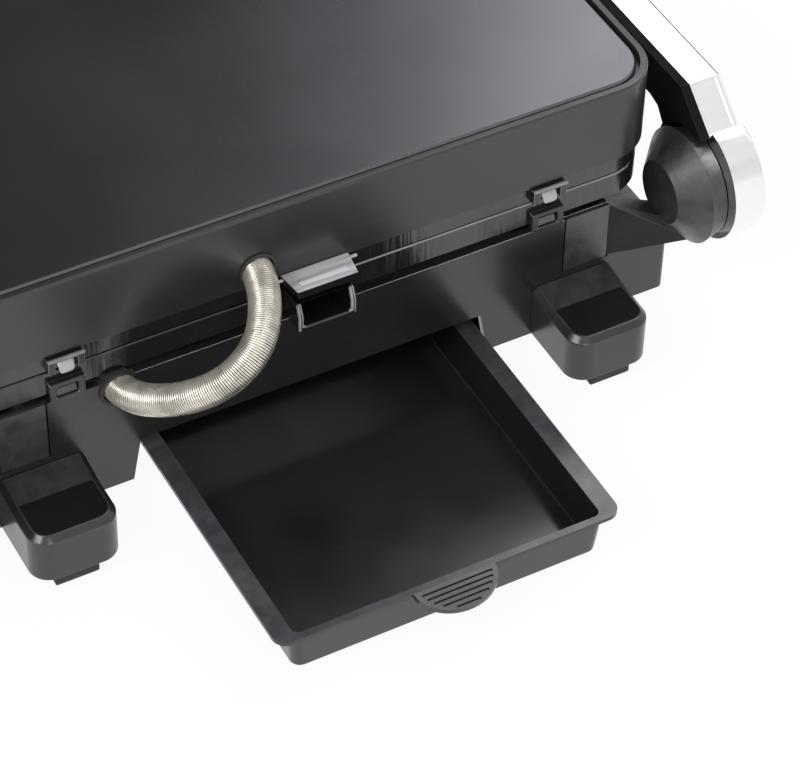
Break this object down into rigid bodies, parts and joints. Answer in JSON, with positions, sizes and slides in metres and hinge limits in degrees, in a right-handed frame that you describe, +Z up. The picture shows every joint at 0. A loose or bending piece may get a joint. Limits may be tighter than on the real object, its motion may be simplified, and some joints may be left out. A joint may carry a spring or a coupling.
{
  "type": "contact grill",
  "caption": "Countertop contact grill with ribbed plates, floating lid on side arms with a front grip, spring-sheathed lead and a slide-out grease tray at the rear.",
  "frame": {"origin": "on the table, under the middle of the space that the grill takes up with its tray pulled out", "axes": "+Z up, +Y to the rear where the tray comes out, +X to the left of the grill seen from behind"},
  "size_m": [0.384, 0.4446, 0.123],
  "materials": {
    "black_plastic": "satin moulded black",
    "lid_shell": "satin dark grey",
    "lid_panel": "satin dark grey coating",
    "plate_coating": "cast, with a glossy black non-stick coating",
    "polished_aluminium": "polished",
    "hood_aluminium": "satin",
    "steel": "bright sheet and bar",
    "lead_spring": "wound wire sheath",
    "rubber": "matte black",
    "tray_plastic": "satin dark grey",
    "lamp": "clear red",
    "white_mark": "white line",
    "grip": "satin black"
  },
  "bodies": {
    "base": {"base_housing": "black_plastic", "base_heat_shield": "steel", "base_bottom_cover": "black_plastic", "cover_screws": "steel", "hinge_hub_left": "black_plastic", "hinge_hub_right": "black_plastic", "hinge_shafts": "steel", "rear_foot_left": "black_plastic", "rear_foot_right": "black_plastic", "rear_pads": "rubber", "front_feet": "rubber", "tray_runners": "steel", "lower_plate": "plate_coating", "lower_spout": "black_plastic", "lower_sockets": "black_plastic", "socket_springs": "steel", "lower_heating_element": "steel", "lower_reflector_pan": "steel", "lower_cutout": "black_plastic", "terminal_block": "black_plastic", "control_panel": "black_plastic", "indicator_lamps": "lamp", "temperature_control": "black_plastic", "timer_control": "black_plastic", "cord_gland": "rubber", "base_grommet": "rubber", "power_lead": "lead_spring"},
    "arms": {"arm_cover_left": "polished_aluminium", "arm_cover_right": "polished_aluminium", "arm_liner_left": "black_plastic", "arm_liner_right": "black_plastic", "arm_screws": "steel", "pivot_pins": "steel", "hinge_caps": "polished_aluminium", "grip_bar": "steel", "grip_sleeve": "grip", "grip_collars": "polished_aluminium"},
    "lid": {"lid_shell": "lid_shell", "lid_top_panel": "lid_panel", "upper_plate": "plate_coating", "upper_spout_hood": "hood_aluminium", "upper_clips": "black_plastic", "upper_clip_tongues": "steel", "upper_heating_element": "steel", "upper_reflector_pan": "steel", "upper_cutout": "black_plastic", "lid_pivot_bosses": "black_plastic", "lid_grommet": "rubber"},
    "tray": {"drip_tray": "tray_plastic"},
    "temperature_knob": {"temperature_knob": "grip", "temperature_pointer": "white_mark"},
    "timer_knob": {"timer_knob": "grip", "timer_pointer": "white_mark"},
    "lower_button": {"lower_release_button": "grip"},
    "upper_button": {"upper_release_button": "grip"}
  },
  "joints": [
    {"name": "arm_swing", "type": "hinge", "parent": "base", "child": "arms", "pos_m": [0, 0.09342, 0.0611], "axis": [-1, 0, 0], "range_deg": [0, 100], "deforming": ["power_lead"]},
    {"name": "lid_float", "type": "hinge", "parent": "arms", "child": "lid", "pos_m": [0, -0.03228, 0.09265], "axis": [-1, 0, 0], "range_deg": [-6, 0]},
    {"name": "tray_slide", "type": "slide", "parent": "base", "child": "tray", "axis": [0, 1, 0], "range_m": [-0.088, 0.04]},
    {"name": "temperature_turn", "type": "hinge", "parent": "base", "child": "temperature_knob", "pos_m": [-0.062, -0.16928, 0.028], "axis": [0, 1, 0], "range_deg": [0, 270]},
    {"name": "timer_turn", "type": "hinge", "parent": "base", "child": "timer_knob", "pos_m": [0.062, -0.16928, 0.028], "axis": [0, 1, 0], "range_deg": [0, 300]},
    {"name": "lower_release", "type": "slide", "parent": "base", "child": "lower_button", "axis": [0, 1, 0], "range_m": [0, 0.0025], "stiffness_N_per_m": 400},
    {"name": "upper_release", "type": "slide", "parent": "lid", "child": "upper_button", "axis": [0, 1, 0], "range_m": [0, 0.0025], "stiffness_N_per_m": 400}
  ],
  "couplings": [
    {"joint": "lid_float", "follows": "arm_swing", "ratio": -0.06}
  ]
}
